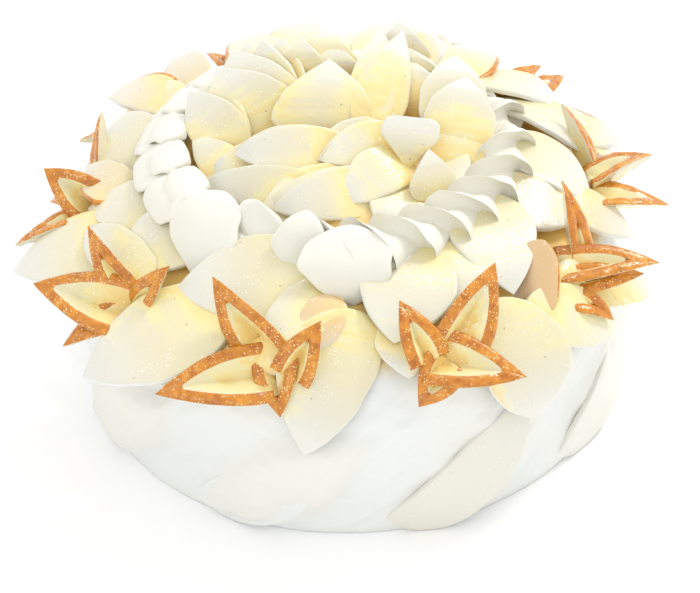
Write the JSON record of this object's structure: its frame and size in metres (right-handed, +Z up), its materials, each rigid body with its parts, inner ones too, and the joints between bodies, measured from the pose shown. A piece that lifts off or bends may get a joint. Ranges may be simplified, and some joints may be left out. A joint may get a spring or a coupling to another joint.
{
  "type": "pear cake",
  "caption": "Round layer cake coated in whipped cream, crowned with a flower of glazed pear slices inside a piped ring, with skin-edged leaf cuts round its shoulder.",
  "frame": {"origin": "middle of the cake's flat underside", "axes": "+Z up through the middle of the cake, -Y towards the front, +X to the right seen from the front"},
  "size_m": [0.2337, 0.2165, 0.119],
  "materials": {
    "whipped_cream": "soft satin cream",
    "pear_flesh": "wet glaze over translucent flesh",
    "pear_skin": "glazed skin with fine specks",
    "veiled_pear": "fruit under a thin veil of cream"
  },
  "bodies": {
    "root": {"cream_cake": "whipped_cream", "cream_ring": "whipped_cream", "leaf_cut_01": "pear_skin", "leaf_cut_02": "pear_skin", "leaf_cut_03": "pear_skin", "leaf_cut_04": "pear_skin", "leaf_cut_05": "pear_skin", "leaf_cut_06": "pear_skin", "leaf_cut_07": "pear_skin", "leaf_cut_08": "pear_skin", "leaf_cut_09": "pear_skin", "leaf_cut_10": "pear_skin", "flower_slice_01": "pear_flesh", "flower_slice_02": "pear_flesh", "flower_slice_03": "pear_flesh", "flower_slice_04": "pear_flesh", "flower_slice_05": "pear_flesh", "flower_slice_06": "pear_flesh", "flower_slice_07": "pear_flesh", "flower_slice_08": "pear_flesh", "flower_slice_09": "pear_flesh", "flower_slice_10": "pear_flesh", "flower_slice_11": "pear_flesh", "flower_slice_12": "pear_flesh", "flower_slice_13": "pear_flesh", "flower_slice_14": "pear_flesh", "flower_slice_15": "pear_flesh", "flower_slice_16": "pear_flesh", "flower_slice_17": "pear_flesh", "skirt_fan_01": "pear_flesh", "skirt_fan_02": "pear_flesh", "skirt_fan_03": "pear_flesh", "skirt_fan_04": "pear_flesh", "skirt_fan_05": "pear_flesh", "skirt_fan_06": "pear_flesh", "skirt_fan_07": "pear_flesh", "skirt_fan_08": "pear_flesh", "skirt_fan_09": "pear_flesh", "skirt_fan_10": "pear_flesh", "skirt_fan_11": "pear_flesh", "skirt_fan_12": "pear_flesh", "skirt_fan_13": "pear_flesh", "skirt_fan_14": "pear_flesh", "skirt_fan_15": "pear_flesh", "skirt_fan_16": "pear_flesh", "skirt_fan_17": "pear_flesh", "skirt_fan_18": "pear_flesh", "skirt_fan_19": "pear_flesh", "skirt_fan_20": "pear_flesh", "skirt_fan_21": "pear_flesh", "skirt_fan_22": "pear_flesh", "side_slice_01": "veiled_pear", "side_slice_02": "veiled_pear", "side_slice_03": "veiled_pear", "side_slice_04": "veiled_pear", "side_slice_05": "veiled_pear", "side_slice_06": "veiled_pear", "side_slice_07": "veiled_pear", "side_slice_08": "veiled_pear", "side_slice_09": "veiled_pear"}
  },
  "joints": []
}
